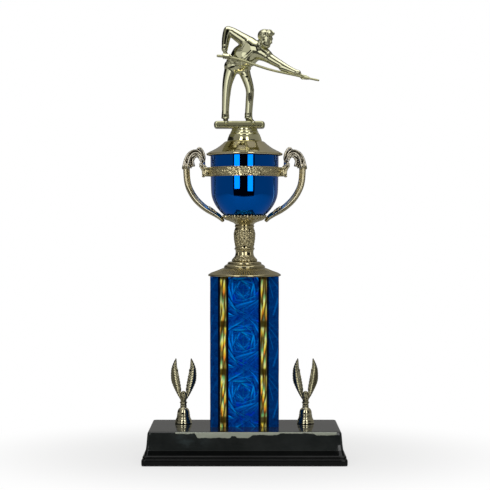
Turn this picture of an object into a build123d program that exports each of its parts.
"""Billiards trophy: a player figure with a cue on a lidded two-handled cup, on a foil-wrapped
rectangular column, on a stepped base that carries two winged side trims.

Millimetres. +Z up, origin at the centre of the underside of the base, +X to the right as seen
from the front, front faces -Y. The column, cup and figure stand stack_y behind the middle of the
base, which leaves a wider ledge in front. Names ending in _r are radii, _t thicknesses."""
from build123d import *
import os

# ---------------------------------------------------------------- driving dimensions
stack_y = 5.0
overrun = 1.0            # cutters run this far past the faces they cut
thread_gap = 0.03        # between a threaded rod and the bore round it
# base
base_w, base_d, base_h = 204.2, 111.6, 33.4
felt_t = 1.2
felt_margin = 0.3
shell_wall, shell_top_t = 3.0, 2.8
shell_ceiling = base_h - shell_top_t
weight_w, weight_d, weight_z0, weight_z1 = 150.0, 70.0, 12.0, 20.0
# tie rod
rod_r, rod_hole_r = 3.0, 3.3
rod_z0, rod_z1 = 4.0, 258.0
rod_nut_af, rod_nut_t = 11.1, 5.6    # af: across flats
fender_r, fender_t = 9.5, 1.2
# column
col_w, col_d, col_r = 69.8, 35.0, 2.6
foil_t, core_wall = 0.35, 2.4
col_z0, col_z1 = base_h, 185.9
plug_h, plug_gap = 10.0, 0.3
# cup
foot_z1 = 200.8
stem_z1 = 238.7
bowl_z0, bowl_z1 = 244.2, 309.2
bowl_floor = bowl_z0 + 1.6
bowl_r = 34.8
band_z0, band_z1, band_r = 287.6, 297.4, 36.4
peg_z = (band_z0 + band_z1) / 2
lid_top_z = 323.7
lid_under_z = lid_top_z - 1.6
lid_plug_r, lid_plug_z0, lid_plug_wall = 33.35, 303.2, 1.3
# figure
pedestal_z1, platform_z1 = 337.0, 344.2
platform_w, platform_d, platform_x = 51.9, 24.0, -5.2
platform_lip = 2.2
cue_r, cue_gap = 1.1, 0.06
stud_r, stud_hole_r = 2.4, 2.5
stud_z0, stud_z1 = 315.0, pedestal_z1 + 4.6
stud_washer_r, stud_washer_t = 6.4, 1.0
stud_nut_af, stud_nut_t = 9.5, 3.9
# side trims, behind the base's middle and either side of the column
trim_x, trim_y = 63.0, 17.0
trim_riser_z1 = 51.2
trim_stud_r, trim_hole_r = 1.9, 2.0
trim_stud_z0, trim_stud_z1 = 24.6, 58.8
trim_washer_r, trim_washer_t = 5.5, 1.0
trim_nut_af, trim_nut_t = 8.0, 3.2

stack = Pos(0, stack_y, 0)
sides = (("left", -1), ("right", 1))
trim_places = {side: Pos(sign * trim_x, trim_y, 0) for side, sign in sides}

os.makedirs("parts", exist_ok=True)


# ---------------------------------------------------------------- helpers
def save(name, shape):
    solids = shape.solids()
    out = solids[0] if len(solids) == 1 else Compound(children=list(solids))
    export_step(out, f"parts/{name}.step")


def front_face(points, sign=1):
    """A face in the XZ plane from a closed outline of (x, z) points; sign -1 mirrors it in x."""
    return make_face(Plane.XZ * Polyline(*[(sign * x, z) for x, z in points], close=True))


def turned(points):
    """A solid of revolution about Z from a closed outline of (radius, height) points."""
    return revolve(front_face(points), axis=Axis.Z, revolution_arc=360)


def rod(radius, z0, z1):
    return Pos(0, 0, (z0 + z1) / 2) * Cylinder(radius, z1 - z0)


def chamfered_rod(radius, z0, z1, bevel):
    return chamfer(rod(radius, z0, z1).edges().filter_by(GeomType.CIRCLE), bevel)


def ring(inner_r, outer_r, z0, z1):
    return rod(outer_r, z0, z1) - rod(inner_r, z0 - overrun, z1 + overrun)


def hex_nut(across_flats, thread_r, z0, z1):
    hexagon = RegularPolygon(across_flats / 2, 6, major_radius=False)
    body = Pos(0, 0, z0) * extrude(hexagon, z1 - z0)
    return body - rod(thread_r + thread_gap, z0 - overrun, z1 + overrun)


def x_pin(x, radius, length):
    """A cylinder along X, centred on x at the height of the handle pegs."""
    return Pos(x, 0, peg_z) * Rot(0, 90, 0) * Cylinder(radius, length)


def prism(width, depth, corner_r, z0, z1):
    return Pos(0, 0, z0) * extrude(RectangleRounded(width, depth, corner_r), z1 - z0)


def rect_stack(levels):
    """Rounded rectangles joined by straight walls: (z, half width, half depth, corner radius)."""
    sections = [Pos(0, 0, z) * RectangleRounded(2 * half_w, 2 * half_d, corner_r)
                for z, half_w, half_d, corner_r in levels]
    return loft(sections, ruled=True)


def limb(start, end, start_r, end_r):
    """A straight or tapered bar from start to end with rounded ends."""
    axis = Vector(*end) - Vector(*start)
    frame = Plane(origin=Vector(*start), z_dir=axis)
    # a cone needs two different radii
    if abs(start_r - end_r) < 1e-6:
        bar = Cylinder(start_r, axis.length)
    else:
        bar = Cone(start_r, end_r, axis.length)
    shaft = frame * (Pos(0, 0, axis.length / 2) * bar)
    return shaft + Pos(*start) * Sphere(start_r) + Pos(*end) * Sphere(end_r)


# ---------------------------------------------------------------- base
top_half_w = 96.1        # half width just under the rounded top edge
cavity_r = 2.0
join = 0.5               # ribs and boss run this far into the top of the shell
boss_r = 10.0
rib_x, rib_y, rib_t, rib_depth = 60.0, 38.7, 2.0, 7.0

# z, half width, corner radius
base_profile = [
    (felt_t, base_w / 2, 3.0), (5.6, base_w / 2, 3.0), (6.5, 101.4, 3.0), (6.9, 100.8, 3.0),
    (7.7, 100.6, 3.0), (8.5, 101.0, 3.0), (9.4, 100.4, 3.0), (9.8, 99.8, 3.0),
    (11.6, 99.0, 3.0), (13.4, 98.4, 3.0), (15.0, 98.2, 3.0), (15.5, 97.9, 3.0),
    (32.2, top_half_w, 3.0), (33.0, 95.8, 2.8), (base_h, 95.0, 2.4),
]
cavity_profile = [
    (felt_t - overrun, base_w / 2 - shell_wall, cavity_r),
    (6.0, base_w / 2 - shell_wall - 1.4, cavity_r),
    (shell_ceiling, top_half_w - shell_wall, cavity_r),
]


def base_stack(profile):
    """The profile runs all round the base, so half depth trails half width by a constant."""
    shortfall = base_w / 2 - base_d / 2
    return rect_stack([(z, half_w, half_w - shortfall, corner_r)
                       for z, half_w, corner_r in profile])


def base_shell():
    shell = base_stack(base_profile) - base_stack(cavity_profile)
    # four ribs just in front of and behind the weight
    rib_z1 = shell_ceiling + join
    for x_sign in (-1, 1):
        for y_sign in (-1, 1):
            centre = Pos(x_sign * rib_x, y_sign * rib_y, (weight_z0 + rib_z1) / 2)
            shell = shell + centre * Box(rib_t, rib_depth, rib_z1 - weight_z0)
    # boss round the tie rod, down to the weight
    shell = shell + stack * rod(boss_r, weight_z1, shell_ceiling + join)
    shell = shell - stack * rod(rod_hole_r, 0, base_h + overrun)
    for place in trim_places.values():
        shell = shell - place * rod(trim_hole_r, 20, base_h + overrun)
    return shell


def base_weight():
    centre = Pos(0, 0, (weight_z0 + weight_z1) / 2)
    block = centre * Box(weight_w, weight_d, weight_z1 - weight_z0)
    block = fillet(block.edges().filter_by(Axis.Z), 4.0)
    return block - stack * rod(rod_hole_r, 0, 30)


save("base_shell", base_shell())
save("base_weight", base_weight())
save("base_felt", prism(base_w - 2 * felt_margin, base_d - 2 * felt_margin, 3.0, 0, felt_t))

# ---------------------------------------------------------------- tie rod and its hardware
# clamps everything from the underside of the weight to the floor of the bowl
low_nut_z1 = weight_z0 - fender_t
top_nut_z0 = bowl_floor + fender_t
save("tie_rod", stack * chamfered_rod(rod_r, rod_z0, rod_z1, 0.6))
save("tie_rod_bottom_washer", stack * ring(rod_hole_r, fender_r, low_nut_z1, weight_z0))
save("tie_rod_bottom_nut",
     stack * hex_nut(rod_nut_af, rod_r, low_nut_z1 - rod_nut_t, low_nut_z1))
save("tie_rod_top_washer", stack * ring(rod_hole_r, fender_r, bowl_floor, top_nut_z0))
save("tie_rod_top_nut",
     stack * hex_nut(rod_nut_af, rod_r, top_nut_z0, top_nut_z0 + rod_nut_t))

# ---------------------------------------------------------------- column
core_w, core_d, core_r = col_w - 2 * foil_t, col_d - 2 * foil_t, col_r - foil_t
inside_w, inside_d, inside_r = core_w - 2 * core_wall, core_d - 2 * core_wall, 1.2
pocket_x, pocket_w, pocket_depth = 19.5, 22.0, 7.0
pocket_margin = 3.0      # front and back


def column_tube(outer_size, inner_size):
    """An open tube over the column's height; each size is (width, depth, corner radius)."""
    inner = prism(*inner_size, col_z0 - overrun, col_z1 + overrun)
    return prism(*outer_size, col_z0, col_z1) - inner


def column_plug(z0, inner_face_z):
    """An end plug with a pocket either side of the rod, sunk from the face inside the column."""
    plug = prism(inside_w - plug_gap, inside_d - plug_gap, 1.0, z0, z0 + plug_h)
    for sign in (-1, 1):
        pocket = Box(pocket_w, inside_d - 2 * pocket_margin, 2 * pocket_depth)
        plug = plug - Pos(sign * pocket_x, 0, inner_face_z) * pocket
    return plug - rod(rod_hole_r, z0 - overrun, z0 + plug_h + overrun)


core_size = (core_w, core_d, core_r)
save("column_core", stack * column_tube(core_size, (inside_w, inside_d, inside_r)))
save("column_wrap", stack * column_tube((col_w, col_d, col_r), core_size))
save("column_bottom_plug", stack * column_plug(col_z0, col_z0 + plug_h))
save("column_top_plug", stack * column_plug(col_z1 - plug_h, col_z1 - plug_h))

# ---------------------------------------------------------------- cup
# turned outlines: radius, z
# foot: flared outside going up, bore going down, then the hollow underside
foot_outline = [
    (36.7, col_z1), (37.3, 187.0), (37.1, 187.8), (36.1, 188.5), (33.8, 189.6), (31.0, 190.6),
    (28.2, 191.6), (25.7, 192.6), (23.2, 193.7), (21.6, 194.5), (21.3, 195.2), (20.7, 195.9),
    (20.0, 196.9), (18.9, 198.0), (17.8, 199.3), (16.6, 200.3), (15.5, foot_z1),
    (7.0, foot_z1), (rod_hole_r, foot_z1), (rod_hole_r, col_z1), (7.0, col_z1),
    (7.0, 198.5), (16.0, 198.5), (18.6, 194.0), (20.5, 192.2), (25.0, 190.3),
    (34.0, 187.2), (34.4, col_z1),
]
stem_outline = [
    (12.7, foot_z1), (12.9, 201.6), (12.85, 202.9), (11.9, 203.9), (10.9, 204.9), (10.2, 206.0),
    (9.65, 207.0), (9.3, 208.0), (9.15, 209.5), (9.1, 211.0), (9.24, 212.2), (9.6, 213.2),
    (10.15, 213.8), (10.15, 214.4), (9.64, 215.2), (9.55, 216.2), (9.8, 217.2), (10.3, 220.0),
    (10.7, 223.4), (11.0, 226.4), (11.08, 228.5), (10.8, 230.7), (10.35, 232.8), (9.8, 234.7),
    (9.4, 235.6), (9.8, 236.4), (9.8, 237.7), (9.6, stem_z1),
    (rod_hole_r, stem_z1), (rod_hole_r, foot_z1),
]
# bowl: outside going up, inside going down to the bore
bowl_outline = [
    (11.0, 244.35), (16.5, 245.6), (20.7, 247.9), (25.4, 252.0), (30.1, 258.2), (32.4, 263.3),
    (33.8, 268.4), (34.2, 273.5), (34.5, 282.0), (34.7, 292.0), (bowl_r, 300.0),
    (bowl_r, bowl_z1),
    (33.6, bowl_z1), (33.6, 300.0), (33.4, 290.0), (33.1, 276.0), (32.6, 268.8), (31.1, 263.6),
    (29.0, 258.9), (24.5, 253.1), (20.0, 249.3), (16.0, 247.1), (11.0, bowl_floor),
    (rod_hole_r, bowl_floor), (rod_hole_r, bowl_z0), (9.0, bowl_z0),
]
# calyx: the leaf cup under the bowl
calyx_outline = [
    (9.6, stem_z1), (10.2, 239.4), (10.8, 240.2), (12.2, 241.2), (13.9, 242.1), (17.0, 243.0),
    (19.4, 244.0), (21.0, 245.6), (21.9, 247.4), (22.0, 248.4), (21.4, 248.3), (20.8, 247.7),
    (16.6, 245.4), (11.1, 244.15), (9.0, bowl_z0), (rod_hole_r, bowl_z0), (rod_hole_r, stem_z1),
]
# lid: flared outside going down to the rim, the plug inside the bowl, then the hollow underside
lid_plug_in_r = lid_plug_r - lid_plug_wall
lid_outline = [
    (19.0, lid_top_z), (20.0, 323.4), (20.8, 322.7), (23.2, 320.6), (25.9, 318.5), (29.0, 316.4),
    (32.8, 314.3), (36.0, 312.9), (38.2, 311.9), (39.0, 311.1), (39.1, 310.2), (38.6, 309.4),
    (37.8, bowl_z1), (lid_plug_r, bowl_z1), (lid_plug_r, lid_plug_z0),
    (lid_plug_in_r, lid_plug_z0), (lid_plug_in_r, 311.0),
    (30.6, 313.2), (27.6, 314.9), (24.6, 317.0), (21.6, 319.4), (19.2, 321.8),
    (16.0, lid_under_z), (stud_hole_r, lid_under_z), (stud_hole_r, lid_top_z),
]
for name, outline in (("cup_foot", foot_outline), ("cup_stem", stem_outline),
                      ("cup_bowl", bowl_outline), ("cup_calyx", calyx_outline),
                      ("cup_lid", lid_outline)):
    save(name, stack * turned(outline))

band_bore_r = bowl_r + 0.05
lug_x0, lug_x1, lug_d = 35.6, 40.5, 6.4
socket_x, socket_r, socket_l = 39.0, 1.35, 4.0
peg_x, peg_r, peg_l = 40.0, 1.25, 3.2
handle_t = 5.6
# right handle, seen from the front: x, z
handle_outline = [
    (40.6, 288.0), (40.6, 297.0), (41.8, 299.5), (39.6, 300.8), (39.4, 304.0), (40.0, 308.5),
    (41.2, 312.0), (43.2, 315.6), (46.6, 318.0), (48.4, 317.2), (50.6, 315.9), (53.6, 315.0),
    (56.8, 313.2), (59.4, 310.2), (61.8, 305.8), (63.4, 300.6), (64.0, 296.6), (62.9, 295.2),
    (62.8, 290.0), (62.0, 283.8), (60.4, 278.0), (57.6, 271.2), (53.4, 264.4), (48.8, 259.0),
    (44.2, 254.8), (39.6, 251.4), (33.4, 248.2), (28.6, 245.9), (25.0, 243.0), (22.8, 240.9),
    (20.6, 241.3), (22.6, 247.6), (24.6, 249.8), (28.4, 251.2), (32.4, 254.0), (37.6, 257.4),
    (41.8, 261.0), (46.6, 266.2), (50.6, 272.0), (53.4, 277.4), (55.2, 283.6), (56.0, 290.0),
    (56.0, 295.0), (51.4, 297.4), (51.0, 301.6), (49.8, 304.8), (47.6, 305.4), (46.2, 303.4),
    (46.4, 299.8), (43.2, 296.6), (42.8, 288.0),
]
# the bowl and its calyx with a little clearance: radius, z
saddle_outline = [
    (0, 236), (10.4, 236), (10.4, 239.9), (14.1, 241.8), (19.7, 243.8), (21.3, 245.4),
    (22.2, 247.3), (22.3, 248.4), (25.7, 251.8), (30.4, 258.0), (32.7, 263.2), (34.1, 268.3),
    (34.6, 273.5), (34.8, 283.0), (0, 283.0),
]


def cup_band():
    """A ring round the bowl, with a square lug and a peg socket at each side."""
    band = ring(band_bore_r, band_r, band_z0, band_z1)
    for sign in (-1, 1):
        lug = Box(lug_x1 - lug_x0, lug_d, band_z1 - band_z0)
        band = band + Pos(sign * (lug_x0 + lug_x1) / 2, 0, peg_z) * lug
    # bore again, to trim the inner ends of the lugs
    band = band - rod(band_bore_r, band_z0 - overrun, band_z1 + overrun)
    for sign in (-1, 1):
        band = band - x_pin(sign * socket_x, socket_r, socket_l)
    return band


def cup_handle(sign):
    """Scrolled top, C-shaped bar, and a lower end cut to lie against the calyx and bowl."""
    bar = extrude(front_face(handle_outline, sign), handle_t / 2, both=True)
    handle = bar + x_pin(sign * peg_x, peg_r, peg_l)
    return handle - turned(saddle_outline)


save("cup_band", stack * cup_band())
for side, sign in sides:
    save(f"{side}_handle", stack * cup_handle(sign))

# ---------------------------------------------------------------- figure's pedestal and platform
# outside going up, bore going down, then the hollow underside: radius, z
pedestal_outline = [
    (17.7, lid_top_z), (17.7, 324.6), (17.3, 326.0), (16.7, 327.8), (15.9, 329.6), (15.9, 330.2),
    (15.3, 330.9), (14.7, 331.9), (14.1, 332.9), (14.1, 333.5), (13.6, 334.0), (13.3, 335.0),
    (12.9, 336.0), (12.8, pedestal_z1), (stud_hole_r, pedestal_z1), (stud_hole_r, lid_top_z),
    (5.0, lid_top_z), (5.0, 334.6), (11.4, 334.6), (12.6, 331.4), (14.2, 328.6),
    (15.8, lid_top_z),
]


def platform_block():
    """The platform before its stud hole is cut."""
    half_w, half_d = platform_w / 2, platform_d / 2
    lip_z1 = pedestal_z1 + platform_lip
    return Pos(platform_x, 0, 0) * rect_stack([
        (pedestal_z1, half_w - 0.5, half_d - 0.5, 2.6),
        (pedestal_z1 + 0.5, half_w, half_d, 3.0),
        (lip_z1 - 0.4, half_w, half_d, 3.0),
        (lip_z1, half_w - 0.4, half_d - 0.4, 2.8),
        (platform_z1 - 0.5, half_w - 1.6, half_d - 3.2, 2.6),
        (platform_z1, half_w - 2.2, half_d - 3.7, 2.4),
    ])


stud_hole = rod(stud_hole_r, pedestal_z1 - overrun, pedestal_z1 + 5.0)
save("figure_pedestal", stack * turned(pedestal_outline))
save("figure_platform", stack * (platform_block() - stud_hole))

# ---------------------------------------------------------------- cue and player
# from the raised rear hand, under the chest, past the bridge hand: x, y, z
cue_line = [
    (-27.6, -15.0, 409.5), (-16.0, -15.6, 408.4), (1.5, -17.2, 403.6), (19.1, -19.2, 397.0),
    (39.8, -21.8, 391.5), (59.5, -24.3, 386.9), (74.8, -26.2, 383.6),
]

# body joints: x, y, z. The player's right is at -X
right_heel, left_heel = (-19.5, 2.6, 347.1), (3.6, 0.8, 347.0)
right_toe, left_toe = (-18.8, -6.4, 345.8), (8.6, -7.2, 345.7)
right_ankle, left_ankle = (-19.4, 0.9, 351.1), (4.4, -1.2, 351.4)
right_knee, left_knee = (-18.4, -0.4, 376.5), (5.7, -4.4, 377.1)
right_hip, left_hip = (-13.0, 0.0, 398.0), (-0.8, -0.5, 397.0)
waist, ribs, chest = (-6.8, -1.5, 401.3), (-0.9, -6.8, 409.1), (7.3, -11.8, 413.7)
right_shoulder, left_shoulder = (3.6, -11.5, 422.7), (19.3, -14.0, 411.5)
right_elbow, right_forearm = (-14.5, -10.0, 435.2), (-18.1, -11.4, 429.0)
right_wrist, right_hand = (-19.9, -14.4, 416.8), (-18.8, -14.6, 410.2)
left_elbow, left_wrist = (36.2, -18.5, 400.3), (53.8, -22.8, 391.7)
left_hand = (60.1, -24.4, 386.5)
neck, head = (13.3, -14.4, 418.6), (20.4, -18.6, 427.0)
head_radii = (7.8, 7.6, 9.0)

# start, end, start radius, end radius; joined in this order
limbs = [
    (waist, ribs, 9.8, 10.2),
    (ribs, chest, 10.2, 8.4),
    (right_hip, left_hip, 7.2, 6.8),
    (waist, right_hip, 8.6, 7.6),
    (chest, right_shoulder, 7.4, 5.8),
    (chest, left_shoulder, 7.4, 5.9),
    (right_shoulder, left_shoulder, 5.4, 5.4),
    (right_hip, right_knee, 6.8, 4.6),
    (left_hip, left_knee, 6.3, 4.3),
    (right_knee, right_ankle, 4.5, 3.7),
    (left_knee, left_ankle, 4.3, 3.9),
    (right_heel, right_toe, 3.0, 2.3),
    (left_heel, left_toe, 3.0, 2.3),
    (right_shoulder, right_elbow, 6.0, 4.7),
    (right_elbow, right_forearm, 4.7, 4.3),
    (right_forearm, right_wrist, 4.2, 3.1),
    (right_wrist, right_hand, 2.4, 3.0),
    (left_shoulder, left_elbow, 5.9, 4.2),
    (left_elbow, left_wrist, 4.1, 2.4),
    (left_wrist, left_hand, 2.0, 2.6),
    (chest, neck, 6.4, 4.6),
    (neck, head, 4.4, 4.6),
]


def cue(radius):
    path = Spline(*cue_line)
    start = Plane(origin=path @ 0, z_dir=path % 0)
    return sweep(start * Circle(radius), path=path)


def player():
    body = limb(*limbs[0])
    for entry in limbs[1:]:
        body = body + limb(*entry)
    body = body + Pos(*head) * scale(Sphere(1.0), by=head_radii)
    body = body - platform_block()
    body = body - cue(cue_r + cue_gap)
    # drop any slivers the cuts leave loose
    return max(body.solids(), key=lambda solid: solid.volume)


save("billiard_cue", stack * cue(cue_r))
save("player_figure", stack * player())

# stud from inside the lid up into the platform
stud_nut_z1 = lid_under_z - stud_washer_t
save("figure_stud", stack * chamfered_rod(stud_r, stud_z0, stud_z1, 0.4))
save("figure_washer", stack * ring(stud_hole_r, stud_washer_r, stud_nut_z1, lid_under_z))
save("figure_nut",
     stack * hex_nut(stud_nut_af, stud_r, stud_nut_z1 - stud_nut_t, stud_nut_z1))

# ---------------------------------------------------------------- side trims
wing_t = 2.0
# the wing on the +X side: x, z
wing_outline = [
    (7.2, 100.0), (9.2, 97.2), (10.8, 93.6), (12.2, 88.0), (12.9, 82.0), (12.8, 79.0),
    (11.8, 75.4), (9.7, 69.6), (7.5, 65.4), (4.8, 61.2), (2.6, 58.2), (1.0, 60.0), (1.4, 65.0),
    (2.4, 68.2), (3.1, 73.0), (4.3, 79.0), (5.0, 84.0), (5.7, 90.2), (6.4, 96.8),
]
# the turned core between the wings: radius, z
wing_core_outline = [
    (0, trim_riser_z1), (2.9, trim_riser_z1), (3.5, 52.4), (3.5, 53.6), (3.1, 54.8), (3.4, 57.0),
    (3.0, 61.0), (2.4, 65.4), (1.6, 67.4), (0, 67.8),
]
# outside going up, bore going down, then the hollow underside: radius, z
riser_outline = [
    (8.9, base_h), (9.0, 34.2), (8.7, 35.0), (7.7, 37.2), (7.1, 39.6), (6.9, 41.4), (6.2, 42.2),
    (6.2, 42.8), (6.6, 43.4), (6.5, 45.4), (5.6, 48.2), (4.2, 50.2), (2.9, trim_riser_z1),
    (trim_hole_r, trim_riser_z1), (trim_hole_r, base_h), (4.0, base_h), (4.0, 41.0),
    (5.2, 41.0), (7.0, base_h),
]


def trim_wings():
    wings = turned(wing_core_outline)
    for sign in (-1, 1):
        wings = wings + extrude(front_face(wing_outline, sign), wing_t / 2, both=True)
    # blind hole, a little deeper than the stud
    return wings - rod(trim_stud_r + thread_gap, trim_riser_z1 - overrun, trim_stud_z1 + 0.2)


trim_nut_z1 = shell_ceiling - trim_washer_t
trim_pieces = {
    "riser": turned(riser_outline),
    "wings": trim_wings(),
    "stud": rod(trim_stud_r, trim_stud_z0, trim_stud_z1),
    "washer": ring(trim_hole_r, trim_washer_r, trim_nut_z1, shell_ceiling),
    "nut": hex_nut(trim_nut_af, trim_stud_r, trim_nut_z1 - trim_nut_t, trim_nut_z1),
}
for side, place in trim_places.items():
    for piece, shape in trim_pieces.items():
        save(f"{side}_trim_{piece}", place * shape)
